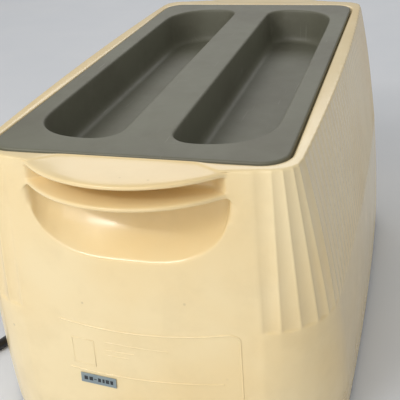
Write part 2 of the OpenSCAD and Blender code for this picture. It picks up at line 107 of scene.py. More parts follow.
def quarter_line(z):
    """Points from the middle of an end round a corner to a side's middle, and how far along each is."""
    key = round(z, 3)
    if key in _lines:
        return _lines[key]
    w, l = half_w(z), half_l(z)
    r = lerp(CORNER_TOP, CORNER_LOW, fall(z))
    y1 = l - r - (w - r) ** 2 / (2 * END_CROWN)
    x1 = w - r - y1 * y1 / (2 * SIDE_CROWN)
    y2 = l - r - x1 * x1 / (2 * END_CROWN)
    cx, cy = w - r - y2 * y2 / (2 * SIDE_CROWN), y2
    a0 = math.pi / 2 - math.asin(cx / END_CROWN)
    a1 = math.asin(cy / SIDE_CROWN)
    x_end, y_side = cx + r * math.cos(a0), cy + r * math.sin(a1)
    points = [(x_end * k / 16, end_y(x_end * k / 16, z)) for k in range(16)]
    points += [
        (cx + r * math.cos(lerp(a0, a1, k / 24)), cy + r * math.sin(lerp(a0, a1, k / 24)))
        for k in range(25)
    ]
    points += [(side_x(y, z), y) for y in (y_side * (1 - k / 24) for k in range(1, 25))]
    points = [Vector(p) for p in points]
    along = [0.0]
    for a, b in zip(points, points[1:]):
        along.append(along[-1] + (b - a).length)
    _lines[key] = (points, along)
    return _lines[key]


def at_length(z, s):
    """Point of the outline at height z that lies s along it, and its outward normal."""
    points, along = quarter_line(z)
    k = 0
    while k < len(points) - 2 and along[k + 1] < s:
        k += 1
    t = clamp((s - along[k]) / (along[k + 1] - along[k]))
    a = points[max(k - 1, 0)] if t < 0.5 else points[k]
    b = points[k + 1] if t < 0.5 else points[min(k + 2, len(points) - 1)]
    d = (b - a).normalized()
    if k == 0 and t < 0.5:
        d = Vector((1.0, 0.0))
    if k == len(points) - 2 and t > 0.5:
        d = Vector((0.0, -1.0))
    return points[k].lerp(points[k + 1], t), Vector((-d.y, d.x))


def length_at(z, test):
    """How far along the outline at height z the test first holds."""
    points, along = quarter_line(z)
    steps = 1500
    for k in range(steps):
        s = along[-1] * k / steps
        if test(at_length(z, s)[0]):
            return s
    return along[-1]


# ---------------------------------------------------------------- mesh helpers


def new_object(name, data):
    o = bpy.data.objects.new(name, data)
    bpy.context.scene.collection.objects.link(o)
    return o


def mesh_object(name, points, faces, smooth=True):
    """A mesh from points in millimetres."""
    me = bpy.data.meshes.new(name)
    me.from_pydata([[c * MM for c in p] for p in points], [], faces)
    me.validate()
    me.polygons.foreach_set("use_smooth", [smooth] * len(me.polygons))
    me.update()
    return new_object(name, me)


def add(o, kind, **settings):
    """Adds a modifier of a kind with its settings."""
    m = o.modifiers.new(kind.title(), kind)
    for key, value in settings.items():
        setattr(m, key, value)
    return m


def subdivide(o, levels):
    return add(o, "SUBSURF", levels=levels, render_levels=levels)


def grid_faces(rows, columns):
    """Quads of a closed tube of closed rows; each row runs counter-clockwise from above, rows go upwards."""
    faces = []
    for j in range(rows):
        for k in range(columns):
            a, b = j * columns + k, j * columns + (k + 1) % columns
            j2 = (j + 1) % rows
            faces.append((a, b, j2 * columns + (k + 1) % columns, j2 * columns + k))
    return faces


def paint(o, *materials):
    o.data.materials.clear()
    for m in materials:
        o.data.materials.append(m)
    return o


def place(o, body, slot_name, *nodes):
    """Names the body that a piece rides on and hides the nodes that it stands for; the material slot is not
    used.
    """
    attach(o, body)
    if nodes:
        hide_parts(*nodes)
    return o


def wire(name, points, radius, resolution, cyclic=False):
    """A round wire through points in mm, as a curve with its own bevel."""
    cu = bpy.data.curves.new(name, "CURVE")
    cu.dimensions = "3D"
    cu.bevel_depth = radius * MM
    cu.bevel_resolution = resolution
    cu.use_fill_caps = True
    sp = cu.splines.new("POLY")
    sp.points.add(len(points) - 1)
    for k, p in enumerate(points):
        sp.points[k].co = (p[0] * MM, p[1] * MM, p[2] * MM, 1)
    sp.use_cyclic_u = cyclic
    sp.use_smooth = True
    return new_object(name, cu)


# ---------------------------------------------------------------- materials


class Wire:
    """A number inside a material that Python's arithmetic works on."""

    def __init__(self, finish, socket):
        self.finish, self.socket = finish, socket

    def math(self, operation, a, b):
        return self.finish.add("Math", {"operation": operation}, {0: a, 1: b})[0]

    def __add__(self, other):
        return self.math("ADD", self, other)

    def __radd__(self, other):
        return self.math("ADD", other, self)

    def __sub__(self, other):
        return self.math("SUBTRACT", self, other)

    def __rsub__(self, other):
        return self.math("SUBTRACT", other, self)

    def __mul__(self, other):
        return self.math("MULTIPLY", self, other)

    def __rmul__(self, other):
        return self.math("MULTIPLY", other, self)


class Finish:
    """A material under construction: one shader, its object coordinates and the nodes between."""

    def __init__(self, name, **constants):
        self.material = bpy.data.materials.new(name)
        self.material.use_nodes = True
        self.tree = self.material.node_tree
        self.tree.nodes.clear()
        self.shader = self.tree.nodes.new("ShaderNodeBsdfPrincipled")
        output = self.tree.nodes.new("ShaderNodeOutputMaterial")
        self.tree.links.new(self.shader.outputs[0], output.inputs[0])
        self.place = self.add("TexCoord", {}, {})["Object"]
        for key, value in constants.items():
            self.set(key.replace("_", " "), value)

    def set(self, socket, value):
        """Feeds a socket of the shader."""
        self._feed(self.shader.inputs[socket], value)
        return self

    def _feed(self, socket, value):
        if isinstance(value, Wire):
            self.tree.links.new(value.socket, socket)
        elif isinstance(value, tuple) and socket.type == "RGBA" and len(value) == 3:
            socket.default_value = (*value, 1)
        else:
            socket.default_value = value

    def add(self, kind, settings, inputs):
        """Adds a node of a kind, with its settings first, then the values or links of its sockets."""
        n = self.tree.nodes.new("ShaderNode" + kind)
        for key, value in settings.items():
            setattr(n, key, value)
        for key, value in inputs.items():
            self._feed(n.inputs[key], value)
        enabled = [o for o in n.outputs if o.enabled]
        outs = {o.name: Wire(self, o) for o in enabled}
        outs.update({i: Wire(self, o) for i, o in enumerate(enabled)})
        return outs

    def noise(self, scale, detail=3.0, rough=0.5, place=None):
        return self.add(
            "TexNoise", {"noise_dimensions": "3D", "noise_type": "FBM"},
            {"Vector": place or self.place, "Scale": scale, "Detail": detail, "Roughness": rough},
        )["Fac"]

    def ramp(self, value, low, high):
        """0 at low and 1 at high, eased between."""
        return self.add(
            "MapRange", {"interpolation_type": "SMOOTHSTEP", "clamp": True},
            {"Value": value, "From Min": low, "From Max": high, "To Min": 0.0, "To Max": 1.0},
        )[0]

    def mix(self, amount, a, b):
        """Colour a where amount is 0 and b where it is 1."""
        return self.add("Mix", {"data_type": "RGBA", "blend_type": "MIX"}, {0: amount, 6: a, 7: b})[0]

    def stretched(self, scale, turn=(0, 0, 0)):
        return self.add("Mapping", {}, {"Vector": self.place, "Scale": scale, "Rotation": turn})[0]

    def axis(self, name):
        return self.add("SeparateXYZ", {}, {0: self.place})[name]

    def bump(self, height, distance, strength=1.0):
        """Raises the surface by height times distance, in metres."""
        chain = {"Height": height, "Distance": distance, "Strength": strength}
        if self.shader.inputs["Normal"].is_linked:
            chain["Normal"] = Wire(self, self.shader.inputs["Normal"].links[0].from_socket)
        self.set("Normal", self.add("Bump", {}, chain)[0])
        return self


def linear(r, g, b):
    """A display colour from 0 to 255 as the shader's linear values."""
    return tuple(((c / 255) / 12.92 if c <= 10 else ((c / 255 + 0.055) / 1.055) ** 2.4) for c in (r, g, b))


def aged_cream():
    """Cream ABS, yellowed with age, fine gloss with rubbed patches, specks and hairline scratches."""
    s = bpy.context.scene.eraser_housing
    f = Finish("aged_cream_abs", IOR=1.5)
    base = tuple(s.colour)
    warm = f.mix(f.ramp(f.noise(9, 4), 0.35, 0.7), base, tuple(s.yellowed))
    cloud = f.ramp(f.noise(38, 5, 0.6), 0.42, 0.72) * 0.14
    colour = f.mix(cloud, warm, linear(206, 184, 138))
    low = f.ramp(f.axis("Z"), 0.045, 0.0)  # darker and rougher in patches towards the foot of the wall
    foot_patches = low * f.ramp(f.noise(60, 5, 0.65), 0.38, 0.72) * 0.35
    colour = f.mix(foot_patches, colour, linear(150, 132, 100))
    cells = f.add("TexVoronoi", {"feature": "F1"}, {"Vector": f.place, "Scale": 72.0, "Randomness": 1.0})
    size = f.ramp(f.noise(31, 2), 0.52, 0.8)
    speck = f.ramp(cells["Distance"], 0.085, 0.03) * size
    colour = f.mix(speck * 0.7, colour, linear(112, 92, 62))
    f.set("Base Color", colour)
    rub = f.ramp(f.noise(24, 6, 0.65), 0.4, 0.7)
    lines = f.noise(1.0, 2, 0.5, f.stretched((60, 60, 1500), (0.5, 0.3, 0.2)))
    scratch = f.ramp(lines, 0.7, 0.76) * f.ramp(f.noise(13, 2), 0.5, 0.7)
    f.set("Roughness", 0.15 + rub * 0.06 + scratch * 0.1 + speck * 0.2 + foot_patches * 0.6)
    f.bump(f.noise(900, 2), 0.000012)
    f.bump(f.noise(42, 2), 0.00012, 0.6)
    f.bump(scratch, -0.000006)
    return f.material


def tray_grey():
    """Warm grey ABS with a dull moulded grain, dust and fine scratches where tools are laid."""
    s = bpy.context.scene.eraser_tray
    f = Finish("tray_grey_abs", IOR=1.5)
    tone = f.mix(f.ramp(f.noise(14, 5, 0.6), 0.35, 0.7), tuple(s.colour), linear(101, 100, 87))
    dust = f.ramp(f.noise(55, 6, 0.7), 0.5, 0.8) * 0.22
    tone = f.mix(dust, tone, linear(150, 149, 138))
    streak = f.noise(1.0, 2, 0.5, f.stretched((700, 26, 26), (0, 0, 0.6)))
    other = f.noise(1.0, 2, 0.5, f.stretched((40, 900, 30), (0, 0, 0.25)))
    worn = f.ramp(f.noise(16, 3), 0.48, 0.66)
    scratch = (f.ramp(streak, 0.68, 0.74) + f.ramp(other, 0.7, 0.75)) * worn
    tone = f.mix(scratch * 0.35, tone, linear(168, 168, 158))
    f.set("Base Color", tone)
    f.set("Roughness", 0.46 + dust * 0.5 + f.noise(120, 3) * 0.08 - scratch * 0.06)
    f.bump(f.noise(1500, 2), 0.00003)
    f.bump(scratch, -0.00003)
    return f.material


def rubber():
    """Dull black rubber of the feet and the belt, grey where dust clings."""
    f = Finish("black_rubber", IOR=1.5)
    dusty = f.ramp(f.noise(90, 5, 0.65), 0.45, 0.75)
    f.set("Base Color", f.mix(dusty * 0.3, linear(30, 30, 31), linear(84, 82, 78)))
    f.set("Roughness", 0.72 + dusty * 0.12)
    f.bump(f.noise(1300, 2), 0.00003)
    return f.material


def cord_vinyl():
    """Glossy black vinyl with handling marks and a little dust."""
    f = Finish("cord_vinyl", IOR=1.5, Specular_IOR_Level=0.55)
    dust = f.ramp(f.noise(110, 5, 0.65), 0.5, 0.78)
    f.set("Base Color", f.mix(dust * 0.25, linear(22, 22, 24), linear(92, 90, 86)))
    f.set("Roughness", 0.24 + dust * 0.3 + f.noise(240, 3) * 0.1)
    f.bump(f.noise(160, 3), 0.00008, 0.6)
    return f.material


def moulded_black(name="moulded_black", colour=(34, 35, 38), rough=0.42):
    """Fine-grained hard plastic, black unless it is given another colour."""
    f = Finish(name, IOR=1.5)
    cloud = f.ramp(f.noise(60, 4), 0.4, 0.7)
    f.set("Base Color", f.mix(cloud * 0.4, linear(*colour), linear(58, 58, 60)))
    f.set("Roughness", rough + cloud * 0.12)
    f.bump(f.noise(2200, 2), 0.00002)
    return f.material


def metal(name, colour, rough, grain=None, dull=(120, 112, 98), amount=0.3, shine=1.0):
    """Bare or plated metal, with an optional drawn grain as a stretch per axis and a film of oxide."""
    f = Finish(name, Metallic=shine)
    film = f.ramp(f.noise(70, 6, 0.65), 0.42, 0.75)
    f.set("Base Color", f.mix(film * amount, linear(*colour), linear(*dull)))
    lines = f.noise(1.0, 3, 0.6, f.stretched(grain)) if grain else f.noise(260, 4)
    f.set("Roughness", rough + film * 0.16 + lines * 0.14)
    f.bump(lines, 0.000015)
    return f.material


def laminated():
    """Stacked stator plates: fine rings along the motor's axis with a bluish scale."""
    f = Finish("stacked_laminations", Metallic=0.85)
    edge = f.add(
        "TexWave", {"wave_type": "BANDS", "bands_direction": "Y"},
        {"Vector": f.place, "Scale": 320.0, "Distortion": 0.0},
    )["Fac"]
    scale = f.ramp(f.noise(45, 5), 0.4, 0.7)
    f.set("Base Color", f.mix(scale * 0.5 + edge * 0.2, linear(138, 140, 144), linear(88, 84, 82)))
    f.set("Roughness", 0.38 + edge * 0.15 + scale * 0.12)
    f.bump(edge, 0.00008)
    return f.material


def enamelled_copper():
    """Wound copper wire under a clear varnish that gathers between the turns."""
    f = Finish("enamelled_copper", Metallic=0.9, Coat_Roughness=0.2)
    turns = f.add(
        "TexWave", {"wave_type": "RINGS", "rings_direction": "Y"},
        {"Vector": f.add("Mapping", {}, {"Vector": f.place, "Location": (0.032, 0, -0.062)})[0],
         "Scale": 260.0, "Distortion": 1.2, "Detail": 2.0, "Detail Scale": 12.0},
    )["Fac"]
    f.set("Base Color", f.mix(turns, linear(108, 50, 22), linear(190, 104, 56)))
    f.set("Roughness", 0.32 + turns * 0.12)
    f.set("Coat Weight", f.ramp(turns, 0.2, 0.9) * 0.4)
    f.bump(turns, 0.0003)
    return f.material


def foil():
    """Blue-grey foil sticker with printed bars for a number, its surface rubbed."""
    f = Finish("foil_sticker", Metallic=0.35)
    worn = f.ramp(f.noise(180, 5, 0.65), 0.45, 0.75)
    f.set("Base Color", f.mix(worn * 0.5, linear(140, 154, 160), linear(186, 190, 184)))
    f.set("Roughness", 0.38 + worn * 0.2)
    f.bump(f.noise(700, 3), 0.00002)
    return f.material


def ink():
    """Dark printing ink, worn thin in spots."""
    f = Finish("printing_ink")
    fade = f.ramp(f.noise(900, 4, 0.6), 0.45, 0.8)
    f.set("Base Color", f.mix(fade * 0.5, linear(34, 38, 44), linear(98, 108, 112)))
    f.set("Roughness", 0.5 + fade * 0.2)
    return f.material


def plain_floor():
    """Pale dull table top."""
    s = bpy.context.scene.eraser_stage
    f = Finish("pale_table", IOR=1.45)
    f.set("Base Color", f.mix(f.ramp(f.noise(5, 3), 0.3, 0.7), tuple(s.table), linear(227, 231, 239)))
    f.set("Roughness", 0.55 + f.noise(40, 3) * 0.08)
    return f.material


def shared(build, *args, **kwargs):
    """A finish that several pieces wear is made once."""
    key = (build.__name__, args, tuple(sorted(kwargs.items())))
    if key not in shared.made:
        shared.made[key] = build(*args, **kwargs)
    return shared.made[key]


shared.made = {}

# ---------------------------------------------------------------- sizes and colours a user would change


class EraserStage(bpy.types.PropertyGroup):
    lens: bpy.props.FloatProperty(
        name="Lens", description="Focal length of the camera", default=68.67, unit="CAMERA"
    )
    table: bpy.props.FloatVectorProperty(
        name="Table", description="Colour of the table top", subtype="COLOR", default=linear(222, 227, 236)
    )
    key_power: bpy.props.FloatProperty(
        name="Key Light", description="Power of the large soft light at the front", default=6.2, unit="POWER"
    )


class EraserHousing(bpy.types.PropertyGroup):
    colour: bpy.props.FloatVectorProperty(
        name="Colour", description="Cream of the moulding", subtype="COLOR", default=linear(243, 224, 180)
    )
    yellowed: bpy.props.FloatVectorProperty(
        name="Yellowed", description="Cream where age has yellowed it", subtype="COLOR",
        default=linear(240, 215, 163),
    )
    flute_depth: bpy.props.FloatProperty(
        name="Flute Depth", description="Hollow of each flute at the ledge", default=1.35 * MM, unit="LENGTH"
    )
    bead: bpy.props.FloatProperty(
        name="Label Bead", description="Radius of the raised line round the label field",
        default=0.6 * MM, unit="LENGTH",
    )


class EraserTray(bpy.types.PropertyGroup):
    colour: bpy.props.FloatVectorProperty(
        name="Colour", description="Grey of the tray", subtype="COLOR", default=linear(111, 112, 98)
    )
    edge: bpy.props.FloatProperty(
        name="Edge Radius", description="Rounding of the tray's outer edge", default=1.2 * MM, unit="LENGTH"
    )
    mouth: bpy.props.FloatProperty(
        name="Mouth Radius", description="Rounding where the troughs meet the top", default=1.9 * MM,
        unit="LENGTH",
    )


class EraserCord(bpy.types.PropertyGroup):
    diameter: bpy.props.FloatProperty(
        name="Diameter", description="Diameter of the mains cord", default=7.5 * MM, unit="LENGTH"
    )


# ---------------------------------------------------------------- stage


CAMERA_AT = (0.1431, -0.5222, 0.3510)
CAMERA_TURN = (-16.97, 26.59, -3.61)  # yaw, pitch and roll in degrees


def stage_camera():
    yaw, pitch, roll = (math.radians(a) for a in CAMERA_TURN)
    d = Vector((math.sin(yaw) * math.cos(pitch), math.cos(yaw) * math.cos(pitch), -math.sin(pitch)))
    right = Vector((math.cos(yaw), -math.sin(yaw), 0))
    up = right.cross(d)
    r2 = math.cos(roll) * right + math.sin(roll) * up
    u2 = -math.sin(roll) * right + math.cos(roll) * up
    cam = bpy.data.cameras.new("camera")
    cam.lens = bpy.context.scene.eraser_stage.lens
    cam.clip_start, cam.clip_end = 0.01, 30
    o = new_object("camera", cam)
    turn = Matrix((r2, u2, -d)).transposed()
    o.matrix_world = Matrix.Translation(CAMERA_AT) @ turn.to_4x4()
    bpy.context.scene.camera = o


def soft_light(name, at, target, size, power, colour=(1, 1, 1)):
    la = bpy.data.lights.new(name, "AREA")
    la.shape = "RECTANGLE"
    la.size, la.size_y = size
    la.energy = power
    la.color = colour
    o = new_object(name, la)
    o.location = at
    o.rotation_euler = (Vector(target) - Vector(at)).to_track_quat("-Z", "Y").to_euler()
    return o


class ERASER_OT_stage(bpy.types.Operator):
    """Sets the camera, the table and the soft lights"""

    bl_idname = "eraser.stage"
    bl_label = "Stage"

    def execute(self, context):
        s = context.scene.eraser_stage
        stage_camera()
        table = mesh_object(
            "table_top", [(-4000, -2500, 0), (4000, -2500, 0), (4000, 5000, 0), (-4000, 5000, 0)],
            [(0, 1, 2, 3)],
        )
        paint(table, plain_floor())
        soft_light("key", (-0.75, -0.95, 1.15), (0, -0.05, 0.12), (0.8, 0.6), s.key_power, (1, 0.97, 0.92))
        soft_light("front", (-0.1, -1.6, 0.3), (0, -0.2, 0.17), (1.0, 0.4), 2.4, (1, 0.96, 0.9))
        soft_light("near", (-0.05, -0.95, 0.72), (0, -0.2, 0.17), (0.5, 0.3), 1.3, (1, 0.97, 0.92))
        soft_light("strip", (-0.55, -1.2, 1.05), (0, -0.2, 0.15), (0.45, 0.07), 3.2)
        soft_light("back", (-0.25, 1.5, 1.15), (0, 0.05, 0.15), (1.4, 0.7), 5)
        world = bpy.data.worlds.new("studio")
        context.scene.world = world
        world.use_nodes = True
        sky = world.node_tree.nodes["Background"].inputs
        sky["Color"].default_value = (0.86, 0.84, 0.79, 1)
        sky["Strength"].default_value = 0.52
        context.scene.view_settings.view_transform = "Standard"
        return {"FINISHED"}


# ---------------------------------------------------------------- mains cord

CORD_REST = 3.8
CORD_ROUTE = [
    (-148, -62, 22), (-160, -62, 20), (-172, -62, 14.9), (-184, -62, 8.9), (-196, -62, 4.5),
    (-206, -62.1, 3.85), (-218.4, -64.9, 3.8), (-230.5, -73, 3.8), (-238.6, -85.1, 3.8),
    (-241.5, -99.5, 3.8), (-238.6, -113.9, 3.8), (-230.5, -126, 3.8), (-218.4, -134.1, 3.8),
    (-204, -137, 3.8), (-190, -137, 3.8), (-176, -137, 3.8), (-162.2, -134.3, 3.8),
    (-150.5, -126.5, 3.8), (-142.7, -114.8, 3.8), (-140, -101, 3.8), (-140, -84, 3.8),
    (-140, -60, 3.8), (-140, -30, 3.8), (-140, 2, 3.8), (-140, 34, 3.8), (-140, 62, 3.8),
]
COIL = (-192.0, 84.0)
COIL_R = 52.0
PITCH_IN, PITCH_OUT = 7.7, 8.6  # how far apart the turns lie, on the table and on top
COIL_TOP = 10.3  # height of the upper turns
PLUG = (-150.0, 122.0, 11.0)


def swing(t):
    """0 to 1 along half a cosine wave."""
    return (1 - math.cos(math.pi * clamp(t))) / 2


def smooth_route(points):
    """Evenly rounded line through points."""
    out, per = [], 4
    for k in range(len(points) - 1):
        a, b = points[max(k - 1, 0)], points[k]
        c, d = points[k + 1], points[min(k + 2, len(points) - 1)]
        for i in range(per):
            t = i / per
            out.append(
                0.5 * ((2 * b) + (c - a) * t + (2 * a - 5 * b + 4 * c - d) * t * t
                + (3 * b - a - 3 * c + d) * t * t * t)
            )
    out.append(points[-1])
    for _ in range(12):  # evens out the bends
        middle = [(a + 2 * b + c) / 4 for a, b, c in zip(out, out[1:], out[2:])]
        out = [out[0], *middle, out[-1]]
    return out


def coil_route():
    """Two turns inwards on the table, then two outwards on top of them."""
    points, steps = [], 30
    step = math.tau / steps
    r = COIL_R
    for k in range(4 * steps + 1):
        up = (k - 2 * steps) * step  # angle since the cord began to climb
        r += step * lerp(-PITCH_IN, PITCH_OUT, ease((up - 0.6) / 1.8)) / math.tau
        z = lerp(CORD_REST, COIL_TOP, swing(up / 1.5))
        points.append(Vector((COIL[0] + r * math.cos(k * step), COIL[1] + r * math.sin(k * step), z)))
    return points


class ERASER_OT_cord(bpy.types.Operator):
    """Lays the mains cord with its coil, sleeve, tie and plug"""

    bl_idname = "eraser.cord"
    bl_label = "Mains Cord"

    def execute(self, context):
        d = context.scene.eraser_cord.diameter
        route = smooth_route([Vector(p) for p in CORD_ROUTE]) + coil_route()
        last = route[-1]
        route += [
            Vector((lerp(last.x, PLUG[0], swing(t)), lerp(last.y, PLUG[1], t), lerp(last.z, PLUG[2], t)))
            for t in (0.17, 0.33, 0.5, 0.67, 0.83, 1.0)
        ]
        line = wire("mains_lead", route, d / MM / 2, 5)
        paint(line, shared(cord_vinyl))
        place(line, "base", "black_pvc", "mains_cord", "cord_coil")
        length = sum((b - a).length for a, b in zip(route, route[1:])) * MM
        paint(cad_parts["strain_relief"], shared(cord_vinyl))
        paint(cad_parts["plug_body"], shared(moulded_black))
        paint(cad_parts["plug_blades"], shared(metal, "blade_brass", (205, 190, 150), 0.3))
        paint(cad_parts["cord_tie"], shared(moulded_black, "tie_grey", (92, 94, 96), 0.6))
        return {"FINISHED"}


# ---------------------------------------------------------------- housing

# how far from the middle of an end each column of the panel is, from the handle to the first ridge
PANEL = (0, 7, 14, 21, 28, 33, 37, 41, 44.8, 48.4, 49.7, 52.4, 54.3, 55.6, 57.0, 60.5, 65.5)
POCKET_END = 57.0
FIRST_RIDGE, RIDGE_TOP = 69, 190
HANDLE_Z = 134  # height where the rows of the carry handle begin
POCKET_LOW, POCKET_TOP, POCKET_BACK = 139.5, 178.1, 171.0
POCKET_ARC = math.asin(39 / 45.6)  # angle that the scoop's hollow covers
LIP_R, LIP_Y = 75, 139  # each carry lip is part of a disc of that radius about that y
LOWER_LIP, UPPER_LIP = 180, 192  # middle heights of the two carry lips
SLOT_BACK = 184.0
FLUTES_BY_CORNER, FLUTES_ON_SIDE = 4, 19
FLUTE_STEPS = (0.0, 0.12, 0.5, 0.88)  # shares of a flute's width where its columns are
HANDLE_ROW = 11  # number of the row where the handle begins
CORNER_Y = 165  # ridges past it are the sharp ones round the corners
# height, inset and share of the flute's hollow of each row of the wall, from its foot to its rim
WALL_ROWS = [
    (3.0, 0.5, 0), (4.2, 0, 0), (24, 0, 0), (46, 0, 0), (70, 0, 0), (95.2, 0, 0), (97.1, 0.1, 0),
    (LEDGE, 0, 1), (99.4, 0, 1), (114, 0, 1), (127, 0, 1),
]
WALL_ROWS += [(lerp(HANDLE_Z, 190.4, k / 22), 0, 1) for k in range(23)]
WALL_ROWS += [(191.6, 0, 1), (192.7, 0.05, 1), (193.6, 0.35, 0.85), (194.15, 1.0, 0.45)]
RIM_ROW = len(WALL_ROWS)
# heights of the same rows where the pocket and the slot run out
END_ROWS = (
    154, 161, 163.5, 165, 167, 169.5, 172, 174.4, 176.4, 177.7, 178.3, 178.9, 180, 181.1, 181.8, 182.6,
    183.8, 188.4, 189.5, 190.3, 190.9, 191.8, 192.6, 193.1, 193.45, 193.85, 194.15,
)
# the outlet recess in the far wall: each row's number and height, and whether it is on the recess floor
RECESS_ROWS = (
    (2, 40.4, False), (3, 42.2, True), (4, 60.0, True), (5, 84.0, True), (6, 101.8, True),
    (7, 103.6, False), (8, 108, False), (9, 115, False),
)
RECESS_HALF_W, RECESS_Y = 50, 184.0
END_WALL, SIDE_WALL = 3.0, 3.2  # thickness of the walls
BEHIND_POCKET, BEHIND_RECESS = 62, 52  # half widths where the inside steps round the pocket and the recess
# rounded rectangles as half width, half length, corner radius and middle y
HOLE = (85.6, 175.6, 16.6, -5.0)
SEAT_HOLE = (77.0, 158.5, 12.0, -5.0)


def ridge_table():
    """How far along the outline each ridge is, at the top and at the ledge."""
    top = [length_at(RIDGE_TOP, lambda p, x=x: p.x >= x) for x in (FIRST_RIDGE, 78, 83.8, 88.5, 91.0)]
    low = [length_at(LEDGE, lambda p, x=x: p.x >= x) for x in (72.6, 82.3, 92.5, 100.7, 105.6)]
    for row, z in ((top, RIDGE_TOP), (low, LEDGE)):
        end, last = quarter_line(z)[1][-1], row[-1]
        row += [lerp(last, end, k / FLUTES_ON_SIDE) for k in range(1, FLUTES_ON_SIDE + 1)]
    return top, low


def ridge(table, k, z):
    """How far along the outline at height z a ridge is."""
    top, low = table
    if z >= LEDGE:
        if k == len(top) - 1:
            return quarter_line(z)[1][-1]
        return lerp(top[k], low[k], (RIDGE_TOP - z) / (RIDGE_TOP - LEDGE))
    return low[k] * quarter_line(z)[1][-1] / quarter_line(LEDGE)[1][-1]


def on_box(p, box):
    """Nearest point of a rounded rectangle's outline, centred at its own y."""
    hx, hy, r, cy = box
    q = Vector((p.x, p.y - cy))
    c = Vector((max(-hx + r, min(hx - r, q.x)), max(-hy + r, min(hy - r, q.y))))
    d = q - c
    return c + d.normalized() * r + Vector((0, cy)), d.normalized()


def pocket_low(x):
    """Height of the pocket's lower edge."""
    t = clamp((x - 16) / 40)
    return POCKET_LOW + 30 * (1 - math.sqrt(1 - t * t))


def nose(x, z):
    """How far out a carry lip stands: its disc, eased into the wall beside it."""
    lip, wall = LIP_Y + math.sqrt(LIP_R * LIP_R - x * x), end_y(x, z)
    return wall + (lip - wall + math.sqrt((lip - wall) ** 2 + 2.0)) / 2 - 0.04 if x < POCKET_END else wall


def lip_edge(back, tip, middle):
    """Rows round a carry lip's edge, from its underside to just below its top."""
    return [
        (max(tip - 1.7, lerp(back, tip, 0.6)), middle - 1.5), (tip - 0.3, middle - 1.1), (tip, middle),
        (tip - 0.3, middle + 1.1),
    ]


def handle_rows(x):
    """(outward, height) of the rows of the carry handle at one width, from below the pocket to the rim."""
    low = pocket_low(x)
    side = math.sqrt(max(0.0, 1 - (x / 57.9) ** 4))  # 0 where the pocket runs out sideways
    back = lerp(end_y(x, 176), POCKET_BACK, side)
    edge = end_y(x, low)
    rows = [(end_y(x, low - 7), low - 7), (end_y(x, low - 1.6), low - 1.6), (edge - 0.3, low - 0.1)]
    for share in (0.95, 0.8, 0.6, 0.4, 0.2, 0.06):
        phi = POCKET_ARC * share
        z = POCKET_TOP - (POCKET_TOP - low) * math.sin(phi) / math.sin(POCKET_ARC)
        y = back + (edge - back) * (1 - math.cos(phi)) / (1 - math.cos(POCKET_ARC))
        rows.append((y, z))
    lower, upper = nose(x, LOWER_LIP), nose(x, UPPER_LIP)
    rows.append((lerp(back, lower, 0.08), 178.5))
    rows += lip_edge(back, lower, LOWER_LIP)
    reach = 1 - clamp((x - 48.4) / 7.2)  # 1 where the slot has its whole depth
    slot = lerp(end_y(x, 186), SLOT_BACK, reach)
    rows += [
        (max(lower - 1.7, lerp(slot, lower, 0.6)), 181.5),
        (lerp(slot, lower, 0.05), lerp(182.2, 181.5, reach)), (slot, lerp(183.6, 182.4, reach)),
        (slot, lerp(188.6, 189.6, reach)), (lerp(slot, upper, 0.05), 190.5),
    ]
    rows += lip_edge(slot, upper, UPPER_LIP)
    rows.append((upper - 1.7, 193.5))
    crease = lerp(181.5, end_y(x, 193) - 0.2, ease((x - 36) / 19))  # where the lip's top meets the rim
    rows += [(crease + 1.1, 193.55), (crease + 0.2, 194.1), (max(crease - 0.9, 181.1), 194.25)]
    return rows


def wall_columns(table):
    """Every column of the wall's quarter, from the middle of the end to the middle of the side."""
    depth = bpy.context.scene.eraser_housing.flute_depth / MM
    columns = []

    def crease_x(z):
        return at_length(z, ridge(table, 0, z))[0].x

    for x0 in PANEL:
        column = []
        for j, (z, inset, _) in enumerate(WALL_ROWS):
            crease = crease_x(z)
            spread = 1 + (crease / FIRST_RIDGE - 1) * ease((HANDLE_Z - z) / 36)
            if x0 <= POCKET_END:
                x = x0 * spread
                if j < HANDLE_ROW:
                    column.append(Vector((x, end_y(x, z) - inset, z)))
                elif x0 < POCKET_END:
                    y, zz = handle_rows(x0)[j - HANDLE_ROW]
                    column.append(Vector((x0, y, zz)))
                else:
                    zz = END_ROWS[j - HANDLE_ROW]
                    column.append(Vector((x0, end_y(x0, min(zz, SHOULDER)) - inset, zz)))
            else:
                t = (x0 - POCKET_END) / (FIRST_RIDGE - POCKET_END)
                x = lerp(POCKET_END * spread, crease, t)
                zz = z if j < HANDLE_ROW else lerp(END_ROWS[j - HANDLE_ROW], z, ease(t))
                column.append(Vector((x, end_y(x, min(zz, SHOULDER)) - inset, zz)))
        columns.append((column, False))
    flutes = FLUTES_BY_CORNER + FLUTES_ON_SIDE
    for k in range(flutes + 1):
        for f in FLUTE_STEPS if k < flutes else (0.0,):
            column = []
            for z, inset, share in WALL_ROWS:
                s0 = ridge(table, k, z)
                s1 = ridge(table, k + 1, z) if f else s0
                smooth, n = at_length(z, lerp(s0, s1, f))
                p = smooth
                if f and share:
                    a, b = at_length(z, s0)[0], at_length(z, s1)[0]
                    chord = b - a
                    out = Vector((-chord.y, chord.x)).normalized()
                    hollow = depth * lerp(1.0, 0.55, clamp((z - LEDGE) / (RIDGE_TOP - LEDGE)))
                    hollow *= min(1.0, chord.length / 9.0) * (1.0 if k < FLUTES_BY_CORNER else 0.55)
                    p = smooth.lerp(a + chord * f - out * hollow * 4 * f * (1 - f), share)
                p = p - n * inset
                column.append(Vector((p.x, p.y, z)))
            columns.append((column, f == 0.0))
    return columns


def recess(column, x0):
    """Lets the drive outlet's panel into the far wall: the rows at its edges move and step in."""
    out = [p.copy() for p in column]
    for j, z, on_floor in RECESS_ROWS:
        x = out[j].x
        inside = on_floor and x0 < RECESS_HALF_W
        out[j] = Vector((x, RECESS_Y if inside else end_y(x, z), z))
    return out


